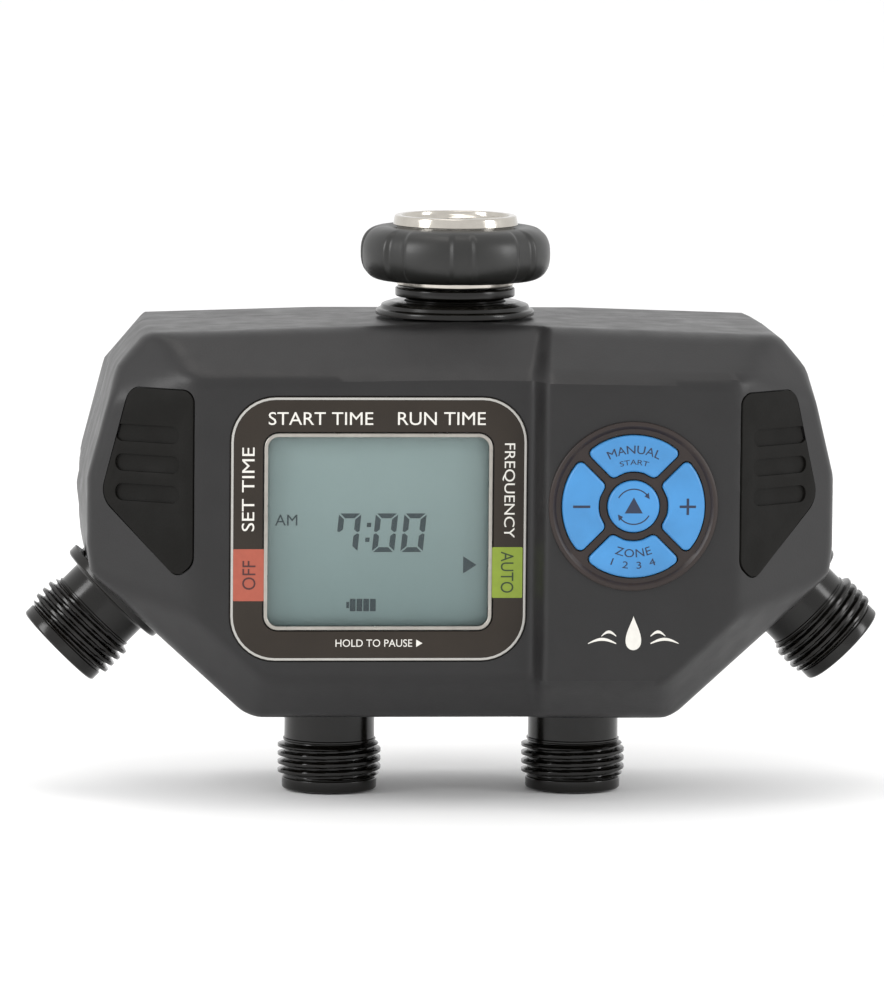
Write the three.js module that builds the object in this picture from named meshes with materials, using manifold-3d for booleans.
// An irrigation controller: a battery timer that hangs on a garden tap and feeds four hoses.
// Millimetres, +Z up, the display faces -Y, +X is to the right.
// The origin is on the inlet axis, at the top rim of the metal swivel ring.
// The inlet and the four outlets all have their axes in the plane y = 0.

import * as THREE from 'three';
import { mergeVertices } from 'three/addons/utils/BufferGeometryUtils.js';
import Module from 'manifold-3d';

const wasm = await Module();
wasm.setup();

// ---------------------------------------------------------------- driving dimensions

const GAP = 0.3;                 // room between pieces that touch
const WALL = 2.6;                // housing wall
const FAR = 400;                 // longer than anything in the object, for cutting tools

// Housing, along Y
const BACK_Y = 38;
const SEAM_Y = 14;
const DISPLAY_FACE_Y = -43;
const KEYPAD_FACE_Y = -49.5;

// Housing outline at its widest, right half, from the crown of the top to the bottom: x, z, corner radius
const OUTLINE_CORNERS = [
  [0, -26, 0],
  [81.2, -28.5, 6],
  [88.6, -37.2, 8],
  [97.4, -71, 9],
  [95, -90.5, 5],
  [54.8, -127.2, 9],
];

// Slopes of each wall: its outward direction in the X-Z plane, its distance from the origin along it,
// the y where the front bevel starts, how far the bevel comes in at the front face, and how far the
// wall comes in from the seam to the front (draft) and from the seam to the back (taper)
const WALLS = [
  { out: [0, 1], reach: -26, start: -25.5, inset: 12.7, draft: 0, taper: 1.2 },
  { out: [8.7, 7.4], reach: 43.4, start: -25.5, inset: 15, draft: 0, taper: 1.75 },
  { out: [1, 0], reach: 97.4, start: -25.5, inset: 28.3, draft: 1.5, taper: 2.2 },
  { out: [36.7, -40.2], reach: 130.9, start: -28, inset: 11.6, draft: 0, taper: 2.4 },
  { out: [0, -1], reach: 127.2, start: -31, inset: 11.7, draft: 0, taper: 2.4 },
];
const KEYPAD_BEVEL_SHIFT = -2.5; // the keypad module's bevels start this much further forward

// Step between the two modules
const STEP_FOOT_X = 16.9;
const STEP_TOP_X = 20;

// Display
const LABEL = { x: -22.4, z: -77, width: 75.6, height: 67.6, radius: 11.5, depth: 0.9 };
const WINDOW = { x: -22.5, z: -77.7, width: 58.3, height: 50.4, radius: 3.7 };
const FRAME_RIM = 1;
const LENS_THICKNESS = 0.8;
const LCD = { width: 62, height: 54, thickness: 2.4 };

// Keypad
const KEYPAD = { x: 42, z: -70.4 };
const KEYPAD_RIM_RADIUS = 21.6;
const KEYPAD_PLUG_RADIUS = 20.2;
const KEY_RING = { inner: 8.9, outer: 18.2, gap: 2.4, corner: 1.5 };
const CENTRE_KEY_RADIUS = 6.6;
const KEY_PROUD = 1.4;           // keys stand this far in front of the keypad face
const KEY_THICKNESS = 3.4;
const KEY_TRAVEL = 1;

// Circuit board
const BOARD = { left: -58, right: 64, top: -45, bottom: -108, front: -37.4, thickness: 1.6 };

// Inlet
const STEM_BORE = 8;
const FLANGE_TOP = -22.3;
const FLANGE_FOOT = -25.7;

// Outlets: the axis meets the housing face at x, z; length is from there to the lip
const OUTLETS = [
  { name: 'left_side', x: -87.4, z: -97.5, tilt: -45, length: 21.2, flange: true },
  { name: 'left_bottom', x: -31.8, z: -127.2, tilt: 0, length: 22.3, flange: false },
  { name: 'right_bottom', x: 31.8, z: -127.2, tilt: 0, length: 22.3, flange: false },
  { name: 'right_side', x: 87.4, z: -97.5, tilt: 45, length: 21.2, flange: true },
];
const PIPE_RADIUS = 11.7;
const PIPE_BORE = 8.2;
const THREAD_RADIUS = 13.4;      // 3/4 inch garden hose thread, 26.8 mm over the crests
const THREAD_LENGTH = 9.3;
const LIP_LENGTH = 3.2;
const LIP_RADIUS = 12.3;
const FLANGE = { radius: 15.5, back: -0.6, front: 2.1 }; // round the side pipes, let into the housing
const SLOT_RADIUS = PIPE_RADIUS + 0.5;

// Manifold
const GALLERY_Z = -56;
const TUBE_RADIUS = 10.5;
const TUBE_BORE = 8;
const SOCKET_RADIUS = 12.2;
const SOCKET_BORE = 10.3;
const SOCKET_DEPTH = 9;
const SOCKET_START = 6.4;        // from the housing face in to the manifold's sockets

// Valves: one on each branch, with its axis along Y
const VALVES = [
  { name: 'left_side', x: -66.2, z: -76.3 },
  { name: 'left_bottom', x: -31.8, z: -90 },
  { name: 'right_bottom', x: 31.8, z: -90 },
  { name: 'right_side', x: 66.2, z: -76.3 },
];
const VALVE_RADIUS = 16.5;
const CHAMBER_RADIUS = 12.5;
const CHAMBER_FLOOR = 4;
const SEAT_Y = 8.5;
const SEAT_RADIUS = 6;
const SEAT_BORE = 4.5;
const VALVE_RIM_Y = 13;
const PLUNGER_LIFT = 2;

// Battery bay, in the rear shell
const BAY = { z: -55.4, width: 56, height: 33.2, front: 18.6, back: 35, wall: 1.6 };
const CELL_RADIUS = 7.1;
const CELL_LENGTH = 49.2;
const DOOR = { width: 66, top: -37, bottom: -76.8, front: 39, back: 41, hingeY: 40.4, hingeZ: -34 };

// Screws, driven from the back
const SCREWS = [
  ['top_left_screw', -72, -45],
  ['top_right_screw', 72, -45],
  ['bottom_left_screw', -50, -115],
  ['bottom_right_screw', 50, -115],
];
const BOSS_RADIUS = 4.4;
const SCREW_HOLE = 2;

// ---------------------------------------------------------------- materials

const paint = (color, roughness, metalness = 0) =>
  new THREE.MeshStandardMaterial({ color, roughness, metalness });
const MATERIALS = {
  housing: paint(0x3e3e40, 0.55),
  darkPlastic: paint(0x1d1c1b, 0.35),
  grip: paint(0x2d2a28, 0.85),
  label: paint(0x3a342e, 0.5),
  silver: paint(0xc9c8c4, 0.35, 0.6),
  glass: paint(0xc8d4d4, 0.05),
  lcd: paint(0x8aa0a0, 0.3),
  key: paint(0x58a5eb, 0.35),
  rubber: paint(0x181818, 0.8),
  silicone: paint(0xb9b9b4, 0.6),
  board: paint(0x1f5a34, 0.5),
  nickel: paint(0xd0cfca, 0.15, 1),
  steel: paint(0xa8a8a8, 0.3, 1),
  whitePlastic: paint(0xd9d6cc, 0.45),
  copper: paint(0xb0683a, 0.35, 0.8),
  cell: paint(0x8c8f94, 0.35, 0.5),
};

// ---------------------------------------------------------------- joining and cutting

// Keeps only the positions, merges the shared points and drops triangles of no area.
function weld(geometry) {
  const bare = new THREE.BufferGeometry();
  bare.setAttribute('position', geometry.attributes.position.clone());
  if (geometry.index) bare.setIndex(geometry.index.clone());
  const merged = mergeVertices(bare, 1e-4);
  const index = merged.index.array;
  const kept = [];
  for (let i = 0; i < index.length; i += 3) {
    const [a, b, c] = [index[i], index[i + 1], index[i + 2]];
    if (a !== b && b !== c && c !== a) kept.push(a, b, c);
  }
  merged.setIndex(kept);
  return merged;
}

function solidOf(geometry) {
  const welded = weld(geometry);
  const mesh = new wasm.Mesh({
    numProp: 3,
    vertProperties: new Float32Array(welded.attributes.position.array),
    triVerts: new Uint32Array(welded.index.array),
  });
  return new wasm.Manifold(mesh);
}

function geometryOf(solid) {
  const mesh = solid.getMesh();
  const geometry = new THREE.BufferGeometry();
  geometry.setAttribute('position', new THREE.BufferAttribute(new Float32Array(mesh.vertProperties), 3));
  geometry.setIndex(Array.from(mesh.triVerts));
  return geometry;
}

const join = (...pieces) => geometryOf(pieces.map(solidOf).reduce((all, piece) => all.add(piece)));

const cut = (body, ...tools) =>
  geometryOf(tools.map(solidOf).reduce((left, tool) => left.subtract(tool), solidOf(body)));

const overlap = (a, b) => geometryOf(solidOf(a).intersect(solidOf(b)));

// ---------------------------------------------------------------- basic shapes

function block(x, y, z) {
  const box = new THREE.BoxGeometry(x[1] - x[0], y[1] - y[0], z[1] - z[0]);
  return box.translate((x[0] + x[1]) / 2, (y[0] + y[1]) / 2, (z[0] + z[1]) / 2);
}

// A round bar along Z
function rod(radius, from, to, sides = 16) {
  const bar = new THREE.CylinderGeometry(radius, radius, to - from, sides);
  return bar.rotateX(Math.PI / 2).translate(0, 0, (from + to) / 2);
}

// A round bar along Y, through x, z
const rodY = (radius, from, to, x = 0, z = 0, sides = 16) =>
  rod(radius, -to, -from, sides).rotateX(Math.PI / 2).translate(x, 0, z);

// A round bar along X, through y, z
const rodX = (radius, from, to, y, z, sides = 16) =>
  rod(radius, from, to, sides).rotateY(Math.PI / 2).translate(0, y, z);

// A body turned about Z: its profile is a list of radius, height, going up the outside
function turned(profile, sides = 16) {
  const points = profile.map(([radius, height]) => new THREE.Vector2(radius, height));
  return new THREE.LatheGeometry(points, sides).rotateX(Math.PI / 2);
}

// A body turned about Y: its profile is a list of radius, y, going towards +Y on the outside
const turnedY = (profile, sides = 16) => turned(profile, sides).rotateX(-Math.PI / 2);

// Closes a profile on itself
const ring = (profile) => [...profile, profile[0]];

// A flat plate with its shape in the X-Z plane, between two values of y
function plate(shape, front, back, curveSegments = 3) {
  const slab = new THREE.ExtrudeGeometry(shape, { depth: back - front, bevelEnabled: false, curveSegments });
  return slab.rotateX(Math.PI / 2).translate(0, back, 0);
}

function roundedRectangle({ x, z, width, height, radius }, grow = 0) {
  const w = width / 2 + grow;
  const h = height / 2 + grow;
  const r = Math.max(radius + grow, 0.1);
  const shape = new THREE.Shape();
  shape.absarc(x + w - r, z + h - r, r, 0, Math.PI / 2);
  shape.absarc(x - w + r, z + h - r, r, Math.PI / 2, Math.PI);
  shape.absarc(x - w + r, z - h + r, r, Math.PI, 1.5 * Math.PI);
  shape.absarc(x + w - r, z - h + r, r, 1.5 * Math.PI, 2 * Math.PI);
  return shape;
}

// Rounds the corners of a closed outline; each point is x, z, radius
function rounded(corners, steps = 3) {
  const points = [];
  corners.forEach(([x, z, radius], i) => {
    const here = new THREE.Vector2(x, z);
    if (radius === 0) {
      points.push(here);
      return;
    }
    const [px, pz] = corners[(i + corners.length - 1) % corners.length];
    const [nx, nz] = corners[(i + 1) % corners.length];
    const before = new THREE.Vector2(px, pz).sub(here);
    const after = new THREE.Vector2(nx, nz).sub(here);
    const turn = Math.PI - before.angleTo(after);
    const reach = Math.min(radius * Math.tan(turn / 2), 0.45 * before.length(), 0.45 * after.length());
    const start = here.clone().addScaledVector(before.normalize(), reach);
    const end = here.clone().addScaledVector(after.normalize(), reach);
    points.push(...new THREE.QuadraticBezierCurve(start, here, end).getPoints(steps));
  });
  return points;
}

// A wire or lead of round section along a smooth path
function lead(radius, path, steps, sides = 5) {
  const section = new THREE.Shape();
  for (let i = 0; i < sides; i += 1) {
    const angle = (2 * Math.PI * i) / sides;
    section[i ? 'lineTo' : 'moveTo'](radius * Math.cos(angle), radius * Math.sin(angle));
  }
  return new THREE.ExtrudeGeometry(section, { steps, extrudePath: path, curveSegments: 1 });
}

// ---------------------------------------------------------------- housing

// Moves every edge of the housing outline inwards
function housingOutline(inset) {
  const right = OUTLINE_CORNERS;
  const left = right.slice(1).reverse().map(([x, z, radius]) => [-x, z, radius]);
  const loop = [...right, ...left];
  return loop.map(([x, z, radius], i) => {
    const [px, pz] = loop[(i + loop.length - 1) % loop.length];
    const [nx, nz] = loop[(i + 1) % loop.length];
    const into = new THREE.Vector2(z - pz, px - x).normalize();
    const outOf = new THREE.Vector2(nz - z, x - nx).normalize();
    const scale = inset / (1 + into.dot(outOf));
    return [x + (into.x + outOf.x) * scale, z + (into.y + outOf.y) * scale, radius];
  });
}

// A half-space tool for one wall, leaning in by inset between y = start and y = end
function slopeTool(wallSide, start, end, inset, thickness) {
  const slope = Math.atan(inset / (start - end));
  const tool = block([-FAR, FAR], [-FAR, FAR], [0, FAR]);
  tool.rotateX(slope);
  tool.translate(0, start, wallSide.reach - thickness / Math.cos(slope));
  tool.rotateY(Math.atan2(wallSide.out[0], wallSide.out[1]));
  return tool;
}

// One module's solid shape: the outline drawn back to front, with the bevels cut in front of the
// seam and the draft behind it.
// wall is 0 for the outer surface, or the wall thickness for the space inside.
function moduleSolid(face, bevelShift, wall) {
  const outline = new THREE.Shape(rounded(housingOutline(wall)));
  let solid = plate(outline, face + wall, BACK_Y - wall);
  for (const { out, reach, start, inset, draft, taper } of WALLS) {
    for (const side of out[0] === 0 ? [1] : [1, -1]) {
      const wallSide = { out: [side * out[0], out[1]], reach };
      const tools = [
        slopeTool(wallSide, start + bevelShift, face, inset, wall),
        slopeTool(wallSide, SEAM_Y, BACK_Y, taper, wall),
      ];
      if (draft > 0) {
        tools.push(slopeTool(wallSide, SEAM_Y, start, draft, wall));
      }
      solid = cut(solid, ...tools);
    }
  }
  return solid;
}

// Everything on the keypad's side of the step, as a column along Z
function keypadSide(wall) {
  const shape = new THREE.Shape([
    new THREE.Vector2(STEP_FOOT_X + wall, BACK_Y + FAR),
    new THREE.Vector2(STEP_FOOT_X + wall, DISPLAY_FACE_Y),
    new THREE.Vector2(STEP_TOP_X + wall, KEYPAD_FACE_Y),
    new THREE.Vector2(STEP_TOP_X + wall, KEYPAD_FACE_Y - FAR),
    new THREE.Vector2(FAR, KEYPAD_FACE_Y - FAR),
    new THREE.Vector2(FAR, BACK_Y + FAR),
  ]);
  return new THREE.ExtrudeGeometry(shape, { depth: 2 * FAR, bevelEnabled: false }).translate(0, 0, -FAR);
}

function housingSolid(wall) {
  const display = moduleSolid(DISPLAY_FACE_Y, 0, wall);
  const keypad = moduleSolid(KEYPAD_FACE_Y, KEYPAD_BEVEL_SHIFT, wall);
  return join(display, overlap(keypad, keypadSide(wall)));
}

const outerSolid = housingSolid(0);
const innerSolid = housingSolid(WALL);
const shell = cut(outerSolid, innerSolid);

// Puts a tool made around an outlet's axis (+Z outwards, z = 0 on the housing face) in place
function atOutlet(geometry, outlet) {
  geometry.rotateY(THREE.MathUtils.degToRad(180 - outlet.tilt));
  return geometry.translate(outlet.x, 0, outlet.z);
}

// The way through the wall for a pipe, open towards the seam so that the pipe slides in from the back
const pipeSlot = (outlet) => atOutlet(
  join(rod(SLOT_RADIUS, -9, 9), block([-SLOT_RADIUS, SLOT_RADIUS], [0, SEAM_Y + 1], [-9, 9])),
  outlet,
);

// The shallow seat that a side pipe's flange sits in
const flangeSeats = () => OUTLETS.filter((outlet) => outlet.flange).map((outlet) =>
  atOutlet(rod(FLANGE.radius + GAP, FLANGE.back - GAP, 9), outlet));

// The rear shell's tongue that closes a pipe slot behind the pipe
function tongue(outlet) {
  const half = SLOT_RADIUS - GAP;
  const fill = atOutlet(block([-half, half], [0.5, SEAM_Y + 2], [-8, 8]), outlet);
  const pipe = atOutlet(rod(SLOT_RADIUS, -9, 9), outlet);
  return cut(overlap(shell, fill), pipe);
}

function frontHousing() {
  const front = overlap(shell, block([-FAR, FAR], [-FAR, SEAM_Y - GAP / 2], [-FAR, FAR]));
  const bosses = SCREWS.map(([, x, z]) => {
    const column = rodY(BOSS_RADIUS, -60, SEAM_Y - GAP / 2, x, z, 16);
    return overlap(outerSolid, column);
  });
  const holes = SCREWS.map(([, x, z]) => rodY(SCREW_HOLE, 0, SEAM_Y + 1, x, z, 12));
  const labelSeat = plate(roundedRectangle(LABEL, GAP), DISPLAY_FACE_Y - 5, DISPLAY_FACE_Y + LABEL.depth);
  const frameSeat = plate(roundedRectangle(WINDOW, GAP), DISPLAY_FACE_Y - 5, DISPLAY_FACE_Y + 2.1);
  const windowHole = plate(roundedRectangle(WINDOW, -0.9), DISPLAY_FACE_Y - 5, DISPLAY_FACE_Y + 5);
  const keypadHole = rodY(KEYPAD_PLUG_RADIUS + GAP, -60, KEYPAD_FACE_Y + 6, KEYPAD.x, KEYPAD.z, 32);
  const stemHole = rod(13.2, -40, 0, 24);
  return cut(
    join(front, ...bosses),
    ...holes, ...OUTLETS.map(pipeSlot), ...flangeSeats(), padSeat(-1), padSeat(1),
    labelSeat, frameSeat, windowHole, keypadHole, stemHole,
  );
}

function rearHousing() {
  const rear = overlap(shell, block([-FAR, FAR], [SEAM_Y + GAP / 2, FAR], [-FAR, FAR]));
  const bosses = SCREWS.map(([, x, z]) => rodY(BOSS_RADIUS, SEAM_Y + GAP / 2, BACK_Y - 1, x, z, 16));
  const holes = SCREWS.map(([, x, z]) => rodY(SCREW_HOLE, 0, BACK_Y + 1, x, z, 12));
  const headSeats = SCREWS.map(([, x, z]) => rodY(3.5, BACK_Y - 3.5, BACK_Y + 1, x, z, 16));
  const bayMouth = block([-26.8, 26.8], [30, 40], [BAY.z - 15.3, BAY.z + 15.3]);
  const ears = [-1, 1].map((side) => {
    const near = side * (DOOR.width / 2 - 5);
    const far = side * (DOOR.width / 2 - 1);
    const across = [Math.min(near, far), Math.max(near, far)];
    return join(
      block(across, [BACK_Y - 1, DOOR.hingeY], [DOOR.hingeZ - 2.2, DOOR.hingeZ + 2.2]),
      rodX(2.2, across[0], across[1], DOOR.hingeY, DOOR.hingeZ, 16),
    );
  });
  const pinHole = rodX(1.3, -DOOR.width, DOOR.width, DOOR.hingeY, DOOR.hingeZ, 12);
  const catchSlot = block([-6.4, 6.4], [BACK_Y - 4, BACK_Y + 1], [DOOR.bottom + 0.3, DOOR.bottom + 2]);
  const solid = join(rear, ...OUTLETS.map(tongue), ...bosses, ...ears);
  return cut(solid, ...holes, ...headSeats, ...flangeSeats(), bayMouth, sealGroove(), pinHole, catchSlot);
}

// A gasket that runs round the inside of the seam
function housingGasket() {
  const outer = new THREE.Shape(rounded(housingOutline(WALL + GAP)));
  outer.holes.push(new THREE.Path(rounded(housingOutline(WALL + GAP + 1.5)).reverse()));
  return plate(outer, SEAM_Y - 1.4, SEAM_Y + 1.4);
}

// ---------------------------------------------------------------- grip pads

const SIDE_BEVEL = WALLS[2];
const PAD_DEPTH = 0.9;           // how deep a pad's seat is, less the gap under it
const PAD_CORNERS = [
  [0.8, -41.8, 3],
  [19.2, -41.8, 3.5],
  [27.6, -70, 6],
  [5.4, -89.9, 5],
  [0.8, -86, 4],
];
const PAD_SLOTS = [-53.4, -61, -68.6];
const PAD_SLOT = { from: 4.7, to: 23.3, height: 4.4, depth: 0.7 };

// Places a plate made around the front edge of a side bevel: x outwards along the slope, y into it
function onSideBevel(geometry, side) {
  const face = side < 0 ? DISPLAY_FACE_Y : KEYPAD_FACE_Y;
  const start = SIDE_BEVEL.start + (side < 0 ? 0 : KEYPAD_BEVEL_SHIFT);
  const slope = Math.atan2(start - face, SIDE_BEVEL.inset);
  geometry.rotateZ(side * slope);
  return geometry.translate(side * (SIDE_BEVEL.reach - SIDE_BEVEL.inset), face, 0);
}

function padShape(side, grow) {
  const middle = [12, -64];
  const corners = PAD_CORNERS.map(([x, z, radius]) => [
    side * (x + Math.sign(x - middle[0]) * grow),
    z + Math.sign(z - middle[1]) * grow,
    radius + grow,
  ]);
  return new THREE.Shape(rounded(corners, 4));
}

const padSeat = (side) => onSideBevel(plate(padShape(side, GAP), -3, PAD_DEPTH + GAP), side);

function gripPad(side) {
  const pad = plate(padShape(side, 0), -0.2, PAD_DEPTH);
  const slots = PAD_SLOTS.map((z) => {
    const middle = side * (PAD_SLOT.from + PAD_SLOT.to) / 2;
    const slot = { x: middle, z, width: PAD_SLOT.to - PAD_SLOT.from, height: PAD_SLOT.height, radius: 2.1 };
    return plate(roundedRectangle(slot), -2, PAD_SLOT.depth - 0.2);
  });
  return onSideBevel(cut(pad, ...slots), side);
}

// ---------------------------------------------------------------- display

function displayLabel() {
  const shape = roundedRectangle(LABEL);
  shape.holes.push(roundedRectangle(WINDOW, GAP));
  return plate(shape, DISPLAY_FACE_Y - GAP, DISPLAY_FACE_Y + LABEL.depth - GAP);
}

function windowFrame() {
  const shape = roundedRectangle(WINDOW);
  shape.holes.push(roundedRectangle(WINDOW, -FRAME_RIM));
  return plate(shape, DISPLAY_FACE_Y - 0.5, DISPLAY_FACE_Y + 0.7);
}

const displayWindow = () =>
  plate(roundedRectangle(WINDOW), DISPLAY_FACE_Y + 1, DISPLAY_FACE_Y + 1 + LENS_THICKNESS);

function lcdPanel() {
  const front = DISPLAY_FACE_Y + WALL + GAP;
  return block(
    [WINDOW.x - LCD.width / 2, WINDOW.x + LCD.width / 2],
    [front, front + LCD.thickness],
    [WINDOW.z - LCD.height / 2, WINDOW.z + LCD.height / 2],
  );
}

// The board, with its controller chip, crystal, reservoir capacitor and lead socket on the back
function circuitBoard() {
  const back = BOARD.front + BOARD.thickness;
  const sheet = block([BOARD.left, BOARD.right], [BOARD.front, back], [BOARD.bottom, BOARD.top]);
  const chip = block([-30, -16], [back - 0.2, back + 1.6], [-84, -70]);
  const crystal = block([-10, -5.5], [back - 0.2, back + 3], [-80, -70]);
  const capacitor = rodY(4, back - 0.2, back + 8, 20, -62, 12);
  const socket = block([-8, 8], [back - 0.2, back + 4], [-104, -97]);
  return join(sheet, chip, crystal, capacitor, socket);
}

// ---------------------------------------------------------------- keypad

const keyBack = KEYPAD_FACE_Y - KEY_PROUD + KEY_THICKNESS;

// One of the four keys round the centre, drawn about the keypad's own centre and pointing up
function sectorShape(grow) {
  const inner = KEY_RING.inner - grow;
  const outer = KEY_RING.outer + grow;
  const half = KEY_RING.gap / 2 - grow;
  const outerAngle = Math.PI / 4 - Math.asin(half / outer);
  const innerAngle = Math.PI / 4 - Math.asin(half / inner);
  const corners = [];
  const arc = (radius, from, to, count) => {
    for (let i = 0; i <= count; i += 1) {
      const angle = from + ((to - from) * i) / count;
      const corner = i === 0 || i === count ? KEY_RING.corner + grow : 0;
      corners.push([radius * Math.sin(angle), radius * Math.cos(angle), corner]);
    }
  };
  arc(outer, -outerAngle, outerAngle, 6);
  arc(inner, innerAngle, -innerAngle, 4);
  return new THREE.Shape(rounded(corners, 3));
}

function centreShape(grow) {
  const circle = new THREE.EllipseCurve(0, 0, CENTRE_KEY_RADIUS + grow, CENTRE_KEY_RADIUS + grow);
  return new THREE.Shape(circle.getPoints(24));
}

const KEYS = [
  { name: 'manual_button', shape: sectorShape, turn: 0 },
  { name: 'plus_button', shape: sectorShape, turn: 90 },
  { name: 'zone_button', shape: sectorShape, turn: 180 },
  { name: 'minus_button', shape: sectorShape, turn: 270 },
  { name: 'cycle_button', shape: centreShape, turn: 0 },
];

function keypadBezel() {
  const back = KEYPAD_FACE_Y + WALL;
  const disc = turnedY([
    [0, KEYPAD_FACE_Y - 0.2],
    [KEYPAD_PLUG_RADIUS - 0.4, KEYPAD_FACE_Y - 0.2],
    [KEYPAD_RIM_RADIUS - 0.9, KEYPAD_FACE_Y - 1.1],
    [KEYPAD_RIM_RADIUS, KEYPAD_FACE_Y - 0.7],
    [KEYPAD_RIM_RADIUS, KEYPAD_FACE_Y - GAP],
    [KEYPAD_PLUG_RADIUS, KEYPAD_FACE_Y - GAP],
    [KEYPAD_PLUG_RADIUS, back],
    [0, back],
  ], 32);
  const holes = KEYS.map(({ shape, turn }) =>
    plate(shape(GAP), KEYPAD_FACE_Y - 3, KEYPAD_FACE_Y + 4).rotateY(THREE.MathUtils.degToRad(turn)));
  return cut(disc, ...holes);
}

// A sheet of silicone with a post behind each key that reaches down to the board's contacts
function keypadMat() {
  const front = keyBack + KEY_TRAVEL + GAP;
  const middle = (KEY_RING.inner + KEY_RING.outer) / 2;
  const places = [[0, 0], [0, middle], [middle, 0], [0, -middle], [-middle, 0]];
  const posts = places.map(([x, z]) => rodY(2.5, front + 1, BOARD.front - GAP, x, z, 10));
  return join(rodY(18.6, front, front + 1.5, 0, 0, 24), ...posts);
}

// ---------------------------------------------------------------- inlet

const swivelInsert = () => turned(ring([
  [15.2, -18.3], [15.2, -2.5], [16.1, -2.5], [15.8, -0.5], [15.4, 0], [13.4, 0],
  [12.7, -0.8], [12.7, -14.5], [11, -14.5], [11, -18.3],
]), 24);

// The hand grip of the swivel: a thick ring with eight broad lobes
function swivelCollar() {
  const top = -2.8;
  const height = 14;
  const hole = 15.5;
  const reach = 24.7;
  const valley = 1.5;
  const half = height / 2;
  const profile = [[hole, top - height]];
  for (let i = 0; i <= 6; i += 1) {
    const angle = -Math.PI / 2 + (Math.PI * i) / 6;
    profile.push([reach - 7.5 + 7.5 * Math.cos(angle), top - half + half * Math.sin(angle)]);
  }
  profile.push([hole, top]);
  const collar = turned(ring(profile), 48);
  const position = collar.attributes.position;
  for (let i = 0; i < position.count; i += 1) {
    const x = position.getX(i);
    const y = position.getY(i);
    const radius = Math.hypot(x, y);
    const lobe = Math.min(1, 1.8 * Math.abs(Math.sin(4 * Math.atan2(y, x))));
    const kept = hole + (radius - hole) * (1 - (valley * (1 - lobe)) / (reach - hole));
    position.setXY(i, (x * kept) / radius, (y * kept) / radius);
  }
  return collar;
}

const inletWasher = () => turned(ring([
  [12.3, -12.1], [12.3, -9.6], [STEM_BORE, -9.6], [STEM_BORE, -12.1],
]), 20);

// A shallow dome of metal gauze over the washer
const inletFilter = () => turned([
  [11.6, -9.3], [11.6, -8.9], [8.2, -8.9], [5.6, -6.2], [0, -5.2],
  [0, -5.6], [5.3, -6.6], [7.9, -9.3], [11.6, -9.3],
], 16);

const inletStem = () => turned(ring([
  [9.7, -44], [9.7, -31.2], [12.4, -31.2], [12.4, -26], [12.8, -21.4], [15.5, -21], [15.5, -18.7],
  [10.6, -18.7], [10.6, -14.2], [12.3, -14.2], [12.3, -12.4], [STEM_BORE, -12.4], [STEM_BORE, -44],
]), 20);

// The stepped collar that covers the hole in the top of the housing
const inletFlange = () => turned(ring([
  [20.5, FLANGE_FOOT], [20.5, -24.6], [19.6, -24.1], [19.2, -23.4],
  [18, -22.9], [16.4, FLANGE_TOP], [13.2, FLANGE_TOP], [13.2, FLANGE_FOOT],
]), 28);

// ---------------------------------------------------------------- outlets and manifold

// A threaded spout, about its own axis: z = 0 on the housing face, +Z outwards
function spout(outlet) {
  const lip = outlet.length;
  const threadEnd = lip - LIP_LENGTH;
  const threadStart = threadEnd - THREAD_LENGTH;
  const shoulder = outlet.flange
    ? [
      [PIPE_RADIUS, FLANGE.back], [FLANGE.radius, FLANGE.back], [FLANGE.radius, FLANGE.front - 0.5],
      [FLANGE.radius - 0.5, FLANGE.front], [PIPE_RADIUS, FLANGE.front],
    ]
    : [[12.5, 0.4 - SOCKET_START], [12.5, -WALL - 0.5], [PIPE_RADIUS, -WALL - 0.5]];
  return turned(ring([
    [SOCKET_BORE - GAP, -SOCKET_START - SOCKET_DEPTH + 1],
    [SOCKET_BORE - GAP, 0.4 - SOCKET_START],
    ...(outlet.flange ? [[PIPE_RADIUS, 0.4 - SOCKET_START]] : []),
    ...shoulder,
    [PIPE_RADIUS, threadStart],
    [THREAD_RADIUS, threadStart + 1],
    [THREAD_RADIUS, threadEnd - 1],
    [LIP_RADIUS, threadEnd],
    [LIP_RADIUS, lip - 0.6],
    [LIP_RADIUS - 0.6, lip],
    [PIPE_BORE, lip],
    [PIPE_BORE, -SOCKET_START - SOCKET_DEPTH + 1],
  ]), 20);
}

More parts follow.
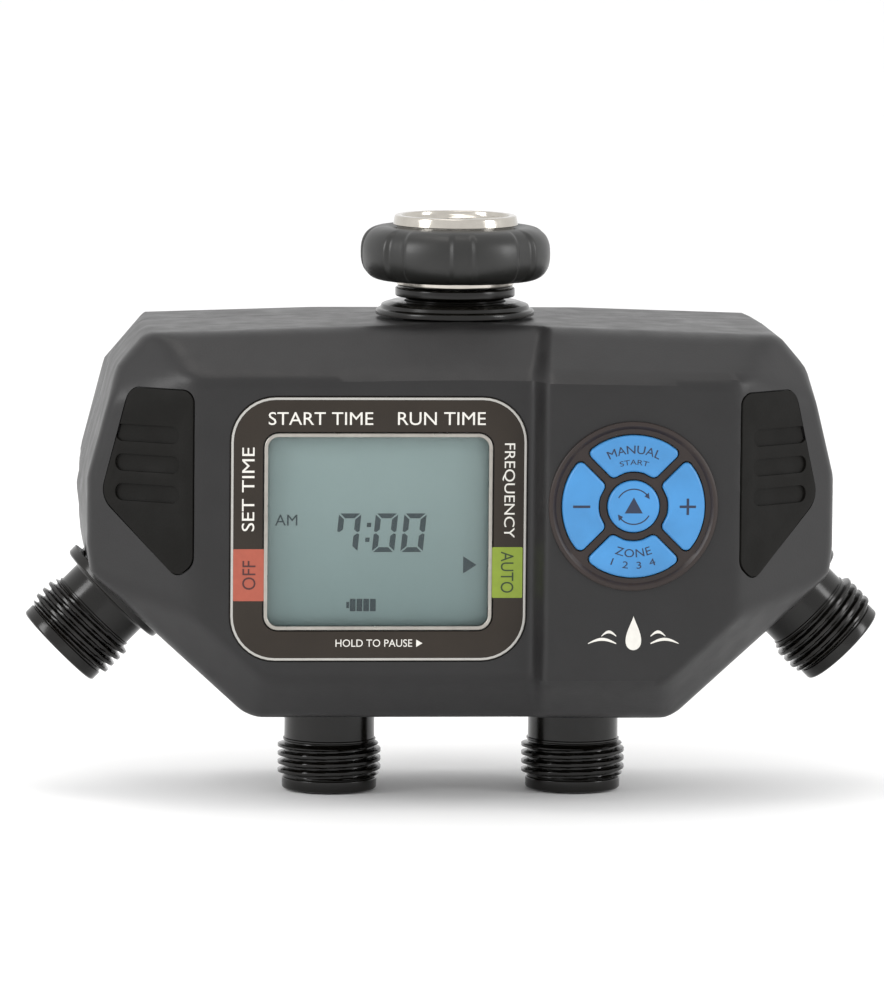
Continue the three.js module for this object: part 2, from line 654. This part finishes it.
// The water passage: a gallery across the body, a branch to each outlet, and a valve chamber on each branch
function manifold() {
  const top = -31.6;
  const outside = [
    rod(SOCKET_RADIUS, top - 14, top),
    rod(TUBE_RADIUS, GALLERY_Z, top - 13),
    rodX(TUBE_RADIUS, -60, 60, 0, GALLERY_Z),
  ];
  const bores = [
    rod(SOCKET_BORE, top - 13, top + 1),
    rod(TUBE_BORE, GALLERY_Z, top - 12),
    rodX(TUBE_BORE, -57, 57, 0, GALLERY_Z),
  ];
  OUTLETS.forEach((outlet, i) => {
    const valve = VALVES[i];
    const toGallery = (outlet.z - GALLERY_Z) / Math.cos(THREE.MathUtils.degToRad(outlet.tilt));
    const toValve = Math.hypot(outlet.x - valve.x, outlet.z - valve.z);
    const socketEnd = -SOCKET_START - SOCKET_DEPTH;
    outside.push(
      atOutlet(rod(TUBE_RADIUS, toGallery, -SOCKET_START - 2), outlet),
      atOutlet(rod(SOCKET_RADIUS, socketEnd - 2, -SOCKET_START), outlet),
      rodY(VALVE_RADIUS, -4, VALVE_RIM_Y, valve.x, valve.z),
    );
    bores.push(
      atOutlet(rod(SOCKET_BORE, socketEnd, 1), outlet),
      atOutlet(rod(TUBE_BORE, -toValve + 15.5, socketEnd + 1), outlet),
      atOutlet(rod(SEAT_BORE, -toValve, -toValve + 16), outlet),
      atOutlet(rod(TUBE_BORE, toGallery, -toValve - SEAT_RADIUS - 1), outlet),
      rodY(SEAT_BORE, 0, VALVE_RIM_Y, valve.x, valve.z, 16),
      cut(
        rodY(CHAMBER_RADIUS, CHAMBER_FLOOR, VALVE_RIM_Y + 1, valve.x, valve.z),
        rodY(SEAT_RADIUS, 0, SEAT_Y, valve.x, valve.z, 16),
      ),
    );
  });
  return cut(join(...outside), ...bores);
}

// ---------------------------------------------------------------- valves, about their own axis along Y

const diaphragm = () => turnedY([
  [0, 8.8], [8.8, 8.8], [12, VALVE_RIM_Y + GAP], [16.2, VALVE_RIM_Y + GAP],
  [16.2, 14.5], [11.4, 14.5], [8.2, 10], [0, 10],
]);

const bonnet = () => turnedY([
  [0, 31.4], [3.9, 31.4], [3.9, 16.8], [11, 16.8], [11, 14.8], [VALVE_RADIUS, 14.8],
  [VALVE_RADIUS, 18.5], [4.9, 18.5], [4.9, 32.6], [0, 32.6],
]);

const solenoidCoil = () => turnedY(ring([
  [5.2, 18.8], [9.5, 18.8], [9.5, 20], [8.6, 20], [8.6, 30], [9.5, 30], [9.5, 31.2], [5.2, 31.2],
]));

const plunger = () => turnedY([[0, 16.9], [1.6, 16.9], [3.5, 18.4], [3.5, 26.4], [0, 26.4]], 12);

// The coil spring that pushes a plunger down on its seat
class Helix extends THREE.Curve {
  getPoint(t) {
    const turns = 3;
    const angle = 2 * Math.PI * turns * t;
    return new THREE.Vector3(2.7 * Math.cos(angle), 27.2 + 3.4 * t, 2.7 * Math.sin(angle));
  }
}
const plungerSpring = () => lead(0.4, new Helix(), 21, 4);

// ---------------------------------------------------------------- battery bay

function sealGroove() {
  const band = { x: 0, z: BAY.z, width: 61.4, height: 38.4, radius: 4 };
  const shape = roundedRectangle(band);
  shape.holes.push(roundedRectangle(band, -2.6));
  return plate(shape, BACK_Y - 1.2, BACK_Y + 1);
}

function doorSeal() {
  const band = { x: 0, z: BAY.z, width: 60.8, height: 37.8, radius: 3.7 };
  const shape = roundedRectangle(band);
  shape.holes.push(roundedRectangle(band, -2));
  return plate(shape, BACK_Y - 0.9, DOOR.front - GAP);
}

function batteryTray() {
  const [w, h] = [BAY.width / 2, BAY.height / 2];
  const box = block([-w, w], [BAY.front, BAY.back], [BAY.z - h, BAY.z + h]);
  const pocket = block(
    [BAY.wall - w, w - BAY.wall],
    [BAY.front + BAY.wall, BAY.back + 1],
    [BAY.z - h + BAY.wall, BAY.z + h - BAY.wall],
  );
  return cut(box, pocket);
}

// An AA cell along X; positive is +1 or -1, the end with the button
function cell(positive) {
  const body = turned([
    [0, -CELL_LENGTH / 2], [CELL_RADIUS, -CELL_LENGTH / 2], [CELL_RADIUS, CELL_LENGTH / 2],
    [2.7, CELL_LENGTH / 2], [2.7, CELL_LENGTH / 2 + 0.9], [0, CELL_LENGTH / 2 + 0.9],
  ], 20);
  return body.rotateY((positive * Math.PI) / 2);
}

function contactStrip(side) {
  const outer = side * (BAY.width / 2 - BAY.wall - 0.2);
  const inner = outer - side * 0.5;
  const strip = block([Math.min(outer, inner), Math.max(outer, inner)], [21, 34], [BAY.z - 14, BAY.z + 14]);
  const notch = block([-FAR, FAR], [27, 40], [BAY.z - 1, BAY.z + 1]);
  return cut(strip, notch);
}

// The door hangs from stub pins at its top edge and snaps shut at its bottom edge
function batteryDoor() {
  const w = DOOR.width / 2;
  const middle = (DOOR.top + DOOR.bottom) / 2;
  const panel = plate(
    roundedRectangle({ x: 0, z: middle, width: DOOR.width, height: DOOR.top - DOOR.bottom, radius: 3 }),
    DOOR.front, DOOR.back,
  );
  const barrel = rodX(2.2, 5.4 - w, w - 5.4, DOOR.hingeY, DOOR.hingeZ, 16);
  const web = block([5.4 - w, w - 5.4], [DOOR.front, DOOR.back], [DOOR.top - 1, DOOR.hingeZ]);
  const pins = rodX(1, 2 - w, w - 2, DOOR.hingeY, DOOR.hingeZ, 12);
  const snap = block([-6, 6], [BACK_Y - 1.6, DOOR.front + 0.5], [DOOR.bottom + 0.6, DOOR.bottom + 1.7]);
  return join(panel, barrel, web, pins, snap);
}

// ---------------------------------------------------------------- screws and wiring

// Along Y, with the head at the back and a cross recess in it
function housingScrew() {
  const head = BACK_Y - 3.2;
  const body = turnedY([
    [0, 2], [0.8, 2], [1.7, 4], [1.7, head], [3.1, head], [3.1, head + 1.2], [2, head + 2.2], [0, head + 2.2],
  ], 12);
  const recess = [0, 90].map((turn) =>
    block([-1.8, 1.8], [head + 1, BACK_Y], [-0.4, 0.4]).rotateY(THREE.MathUtils.degToRad(turn)));
  return cut(body, ...recess);
}

// The leads: a trunk from the board's socket to the back, a pair to each coil and one to the battery tray
function wiringLoom() {
  const curve = (...points) => new THREE.CatmullRomCurve3(points.map((p) => new THREE.Vector3(...p)));
  const socket = [0, BOARD.front + BOARD.thickness + 4.3, -100.5];
  const branches = [lead(2, curve(socket, [0, 0, -100.5], [0, 30, -100.5]), 3)];
  for (const side of [-1, 1]) {
    branches.push(
      lead(0.9, curve([0, 24, -100.5], [side * 10, 24.5, -97], [side * 21.8, 25, -92]), 6),
      lead(0.9, curve(
        [0, 29, -100.5], [side * 16, 33.6, -104], [side * 42, 33.8, -104], [side * 59.2, 32.8, -87.8],
      ), 10),
    );
  }
  branches.push(lead(0.9, curve(
    [0, -26, -100.5], [-14, -22, -92], [-17, -20, -60], [-20, -12, -40], [-24, 6, -42.5], [-26, 18, -43],
  ), 14));
  return join(...branches);
}

// ---------------------------------------------------------------- assembly

const controller = new THREE.Group();

function add(name, geometry, material, parent = controller) {
  const mesh = new THREE.Mesh(weld(geometry), MATERIALS[material]);
  mesh.name = name;
  parent.add(mesh);
  return mesh;
}

add('front_housing', frontHousing(), 'housing');
add('rear_housing', rearHousing(), 'housing');
add('housing_gasket', housingGasket(), 'rubber');
add('left_grip_pad', gripPad(-1), 'grip');
add('right_grip_pad', gripPad(1), 'grip');

add('display_label', displayLabel(), 'label');
add('window_frame', windowFrame(), 'silver');
add('display_window', displayWindow(), 'glass');
add('lcd_panel', lcdPanel(), 'lcd');
add('circuit_board', circuitBoard(), 'board');

const keypad = new THREE.Group();
keypad.position.set(KEYPAD.x, 0, KEYPAD.z);
controller.add(keypad);
add('keypad_bezel', keypadBezel(), 'darkPlastic', keypad);
add('keypad_mat', keypadMat(), 'silicone', keypad);
for (const { name, shape, turn } of KEYS) {
  const key = add(name, plate(shape(0), KEYPAD_FACE_Y - KEY_PROUD, keyBack), 'key', keypad);
  key.rotation.y = THREE.MathUtils.degToRad(turn);
}

add('swivel_insert', swivelInsert(), 'nickel');
add('swivel_collar', swivelCollar(), 'darkPlastic');
add('inlet_washer', inletWasher(), 'rubber');
add('inlet_filter', inletFilter(), 'steel');
add('inlet_stem', inletStem(), 'darkPlastic');
add('inlet_flange', inletFlange(), 'darkPlastic');

add('manifold', manifold(), 'whitePlastic');
for (const outlet of OUTLETS) {
  const mesh = add(`${outlet.name}_outlet`, spout(outlet), 'darkPlastic');
  mesh.position.set(outlet.x, 0, outlet.z);
  mesh.rotation.y = THREE.MathUtils.degToRad(180 - outlet.tilt);
}

for (const valve of VALVES) {
  const group = new THREE.Group();
  group.position.set(valve.x, 0, valve.z);
  controller.add(group);
  add(`${valve.name}_diaphragm`, diaphragm(), 'rubber', group);
  add(`${valve.name}_bonnet`, bonnet(), 'whitePlastic', group);
  add(`${valve.name}_coil`, solenoidCoil(), 'copper', group);
  add(`${valve.name}_plunger`, plunger(), 'steel', group);
  add(`${valve.name}_spring`, plungerSpring(), 'steel', group);
}

add('battery_tray', batteryTray(), 'darkPlastic');
for (const [name, side, height] of [['upper_cell', 1, 7.5], ['lower_cell', -1, -7.5]]) {
  const mesh = add(name, cell(side), 'cell');
  mesh.position.set(0, 27.8, BAY.z + height);
}
add('left_contact', contactStrip(-1), 'steel');
add('right_contact', contactStrip(1), 'steel');
add('door_seal', doorSeal(), 'rubber');
add('battery_door', batteryDoor(), 'housing');

for (const [name, x, z] of SCREWS) {
  const screw = add(name, housingScrew(), 'steel');
  screw.position.set(x, 0, z);
}
add('wiring_loom', wiringLoom(), 'rubber');

export default controller;
